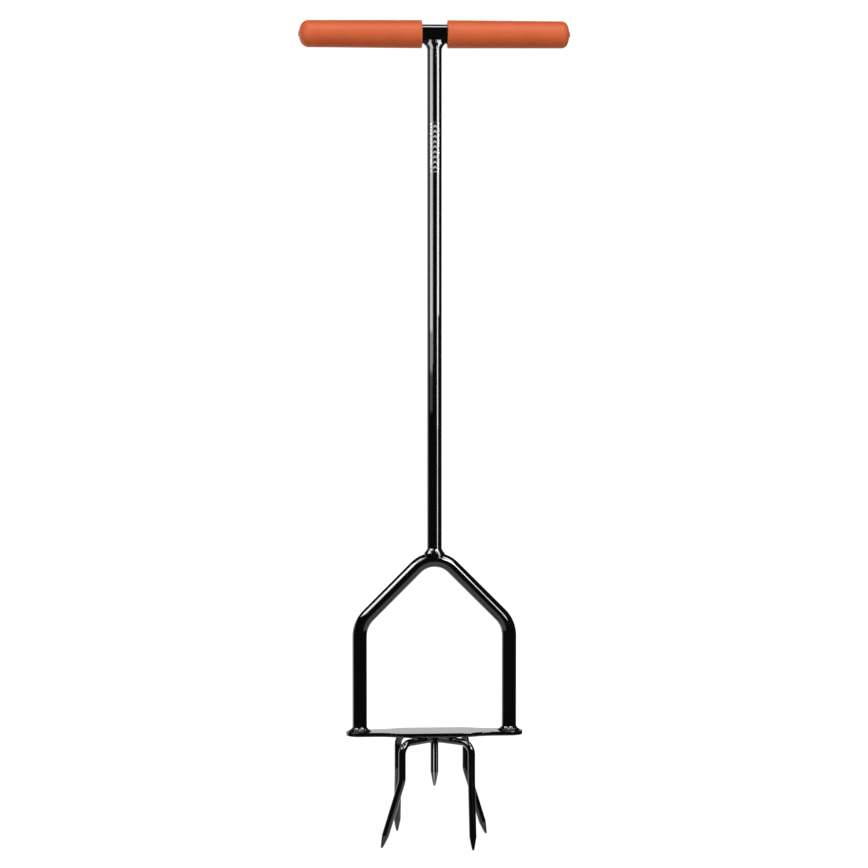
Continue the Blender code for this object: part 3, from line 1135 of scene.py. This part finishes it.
class Rig:
    """Hangs lights and keeps each on the pieces that it is for."""

    def __init__(self, pieces: Sequence[Piece]) -> None:
        """Sort the pieces into what each kind of light falls on."""
        grips = [piece for piece in pieces if piece.name.endswith("soft_grip")]
        painted = [piece for piece in pieces if piece not in grips]
        sets = {
            Duty.GLOSS: painted,
            Duty.UNDERGLOW: [piece for piece in painted if "crossbar" not in piece.name],
            Duty.MATTE: grips,
            Duty.SPIKE: [piece for piece in painted if piece.name == "spike"],
            Duty.PRINT: [piece for piece in painted if piece.name == "label_film"],
        }
        self.receivers = {duty: self.collect(duty, chosen) for duty, chosen in sets.items()}

    def collect(self, duty: Duty, pieces: Sequence[Piece]) -> bpy.types.Collection:
        """A collection of the pieces that a duty's lights fall on."""
        made = bpy.data.collections.new(f"lit_by_{duty.name.lower()}")
        for piece in pieces:
            made.objects.link(piece)
        return made

    def hang(
        self,
        name: str,
        at: Vector,
        outwards: Vector,
        size: tuple[float, float],
        brightness: float,
        duty: Duty,
        colour: Colour = WHITE,
    ) -> None:
        """Hang a rectangular light whose back points outwards.

        Args:
            name: The light's name.
            at: Its middle.
            outwards: The direction from what it lights to the light.
            size: Its width and height.
            brightness: Its face's brightness against a white of 1.
            duty: What it is for.
            colour: Its colour.
        """
        lamp = bpy.data.lights.new(name, "AREA")
        lamp.shape = "RECTANGLE"
        lamp.size, lamp.size_y = size
        lamp.energy = brightness * math.pi * lamp.size * lamp.size_y
        lamp.color = colour
        made = placed(name, lamp)
        made.location = at
        made.rotation_euler = outwards.to_track_quat("Z", "Y").to_euler()
        made.visible_camera = False
        made.visible_diffuse = duty in (Duty.MATTE, Duty.PRINT)
        made.visible_glossy = duty is not Duty.PRINT
        made.light_linking.receiver_collection = self.receivers[duty]
        log.info("%s: a light for %s", name, duty.value)


@dataclass(frozen=True)
class Softbox:
    """An upright even light, facing the tool's axis.

    azimuth is in degrees from the front, positive to the right, spread is how many degrees it
    covers as the tool sees it, and brightness is its face's, against a white of 1.
    """

    azimuth: float
    spread: float
    low: float
    high: float
    brightness: float
    duty: Duty = Duty.GLOSS
    distance: float = 0.8
    colour: Colour = WHITE

    def build(self, name: str, rig: Rig) -> None:
        """Hang the light."""
        angle = math.radians(self.azimuth)
        outwards = Vector((math.sin(angle), -math.cos(angle), 0))
        width = 2 * self.distance * math.tan(math.radians(self.spread / 2))
        middle = outwards * self.distance + UP * (self.low + self.high) / 2
        size = (width, self.high - self.low)
        rig.hang(name, middle, outwards, size, self.brightness, self.duty, self.colour)


@dataclass(frozen=True)
class Panel:
    """A flat light that faces a point on the tool's axis from the front, or from behind.

    elevation is in degrees up from the front, so that 90 is overhead and more is behind.
    """

    elevation: float
    distance: float
    size: tuple[float, float]
    brightness: float
    duty: Duty

    def build(self, name: str, rig: Rig, height: float) -> None:
        """Hang the light so that it faces this height."""
        angle = math.radians(self.elevation)
        outwards = Vector((0, -math.cos(angle), math.sin(angle)))
        at = UP * height + outwards * self.distance
        rig.hang(name, at, outwards, self.size, self.brightness, self.duty)


@dataclass
class Lights:
    """The lamps: narrow boxes that draw the stripes in the paint, and soft light for the rest."""

    near: float = 0.32
    high: float = 1.6
    low: float = 0.5
    lavender: Colour = (0.965, 0.965, 1.0)
    strip: Panel = Panel(97, 1.0, (0.9, 0.34), 11.0, Duty.GLOSS)
    key: Panel = Panel(56, 1.5, (1.4, 0.8), 5.1, Duty.MATTE)
    low_panel: Panel = Panel(-90, 0.3, (2.6, 2.6), 1.05, Duty.UNDERGLOW)

    def stripes(self) -> dict[str, Softbox]:
        """The boxes that the shaft and the yoke's slopes mirror."""
        near, high = {"distance": self.near}, {"distance": self.high}
        edge = {"colour": self.lavender, **near}
        left = {"azimuth": -54.5, "spread": 43, **edge}
        return {
            "left_box": Softbox(low=0.58, high=0.95, brightness=13.5, **left),
            "left_box_hem": Softbox(low=0.53, high=0.58, brightness=6.0, **left),
            "left_box_fringe": Softbox(low=0.48, high=0.53, brightness=1.2, **left),
            "left_edge": Softbox(-28, 12, low=0.54, high=0.95, brightness=3.0, **edge),
            "left_high_box": Softbox(-66, 46, low=1.25, high=1.95, brightness=19.0, **high),
            "right_box": Softbox(52.5, 32, low=0.60, high=0.95, brightness=20.0, **near),
            "right_box_low": Softbox(45.5, 16, low=0.46, high=0.60, brightness=19.0, **near),
            "right_strip": Softbox(45, 11, low=0.30, high=0.46, brightness=18.0, **near),
            "right_high_box": Softbox(31, 28, low=1.06, high=1.65, brightness=36.0, **high),
        }

    def fills(self) -> dict[str, Softbox]:
        """The boxes for the spike, the grips and the label's print."""
        spike = {"low": -0.45, "high": 0.03, "duty": Duty.SPIKE, "distance": self.low}
        front = {"low": 0.40, "high": 1.50, "brightness": 1.12, "duty": Duty.MATTE}
        return {
            "spike_left_box": Softbox(-24, 26, brightness=12.0, **spike),
            "spike_right_box": Softbox(66, 14, brightness=6.0, **spike),
            "left_fill": Softbox(-45, 60, **front),
            "right_fill": Softbox(45, 60, **front),
            "rear_fill": Softbox(180, 50, 0.72, 1.30, brightness=2.4, duty=Duty.MATTE),
            "label_fill": Softbox(0, 60, 0.50, 1.30, brightness=2.2, duty=Duty.PRINT),
        }

    def build(self, pieces: Sequence[Piece]) -> None:
        """Hang every light."""
        rig = Rig(pieces)
        for name, box in {**self.stripes(), **self.fills()}.items():
            box.build(name, rig)
        handle = Extent.of("crossbar_tube").centre.z
        self.strip.build("strip", rig, handle)
        self.key.build("key", rig, handle)
        self.low_panel.build("low_panel", rig, 0.0)


@dataclass
class Floor:
    """A white floor out to the horizon, glowing evenly and clear from underneath."""

    radius: float = 40.0
    near: float = 0.15
    far: float = 1.3
    glow: float = 1.0
    far_glow: float = 0.10
    bounce: float = 0.13
    paint: Colour = (0.80, 0.80, 0.80)
    roughness: float = 0.9

    def material(self) -> bpy.types.Material:
        """Make its material, which casts only a share of its glow on the tool."""
        made = bpy.data.materials.new("floor_white")
        graph = Graph(made)
        reach = graph.node("ShaderNodeVectorMath", {"operation": "LENGTH"}, {0: graph.place()})
        far = graph.term(reach, "Value").smooth(self.near, self.far)
        spread = graph.term(graph.node("ShaderNodeLightPath"), "Is Diffuse Ray")
        shader = graph.node(
            "ShaderNodeBsdfPrincipled",
            inputs={
                "Base Color": (*self.paint, 1.0),
                "Roughness": self.roughness,
                "Emission Color": (*WHITE, 1.0),
                "Emission Strength": (far * self.far_glow + self.glow)
                * (1.0 - spread * (1.0 - self.bounce)),
            },
        )
        under = graph.term(graph.node("ShaderNodeNewGeometry"), "Backfacing")
        clear = graph.term(graph.node("ShaderNodeBsdfTransparent"))
        seen = graph.node("ShaderNodeMixShader", inputs={0: under, 1: graph.term(shader), 2: clear})
        graph.show(seen)
        return made

    def build(self) -> None:
        """Lay the floor, unseen in the paint and casting no shadow."""
        bm = bmesh.new()
        bmesh.ops.create_circle(bm, cap_ends=True, segments=64, radius=self.radius)
        mesh = meshed("floor", bm)
        mesh.materials.append(self.material())
        made = placed("floor", mesh)
        made.visible_glossy = False
        made.visible_shadow = False


@dataclass
class Room:
    """A room that is white to the camera and behind the tool, and dim in front of it."""

    dim: float = 0.05
    flanks: float = 1.6
    behind: float = 1.05
    to_camera: float = 1.05

    def build(self) -> None:
        """Make the world."""
        world = bpy.data.worlds.new("room")
        bpy.context.scene.world = world
        graph = Graph(world)
        way = graph.term(graph.node("ShaderNodeTexCoord"), "Generated")
        split = graph.node("ShaderNodeSeparateXYZ", inputs={0: way})
        side, back, up = (graph.term(split, axis) for axis in "XYZ")
        surround = (back * 0.95 - side * 0.3).smooth(0.55, 0.75) * self.flanks
        surround = surround - back.smooth(0.75, 0.95) * (self.flanks - self.behind)
        glow = surround * (1.0 - up.smooth(0.18, 0.30)) + self.dim
        seen = graph.term(graph.node("ShaderNodeLightPath"), "Is Camera Ray")
        strength = glow * (1.0 - seen) + seen * self.to_camera
        graph.show(
            graph.node(
                "ShaderNodeBackground", inputs={"Color": (*WHITE, 1.0), "Strength": strength}
            )
        )


@dataclass
class Camera:
    """The camera at the front, slightly to the left and above the step."""

    azimuth: float = -4.0
    distance: float = 3.4
    height: float = 0.66
    aim: Sequence[float] = (-0.0005, 0.0, 0.4695)
    frame_width: float = 0.993
    sensor: float = 36.0

    def build(self) -> None:
        """Place the camera."""
        lens = bpy.data.cameras.new("camera")
        made = placed("camera", lens)
        aim = Vector(self.aim)
        angle = math.radians(self.azimuth)
        made.location = (
            aim.x + self.distance * math.sin(angle),
            aim.y - self.distance * math.cos(angle),
            self.height,
        )
        away = made.location - aim
        made.rotation_euler = away.to_track_quat("Z", "Y").to_euler()
        lens.sensor_width = self.sensor
        lens.lens = self.sensor * away.length / self.frame_width
        bpy.context.scene.camera = made


def studio(pieces: Sequence[Piece]) -> None:
    """Set up the floor, the room, the lights and the camera round the tool's pieces."""
    bpy.context.scene.view_settings.view_transform = "Standard"
    Floor().build()
    Room().build()
    Lights().build(pieces)
    Camera().build()


def main() -> None:
    """Build the tool from the handle down, then the studio round it."""
    logging.basicConfig(level=logging.INFO, format="%(name)s: %(message)s")
    shop = Workshop()
    handle = Handle()
    yoke = Yoke()
    shaft = Shaft(handle, yoke)
    for part in (handle, yoke, shaft, FootBeads(yoke), StepPlate(), Tines(), Label(shaft)):
        part.build(shop)
    studio(shop.pieces)
    log.info("%d pieces", len(shop.pieces))


if __name__ == "__main__":
    main()
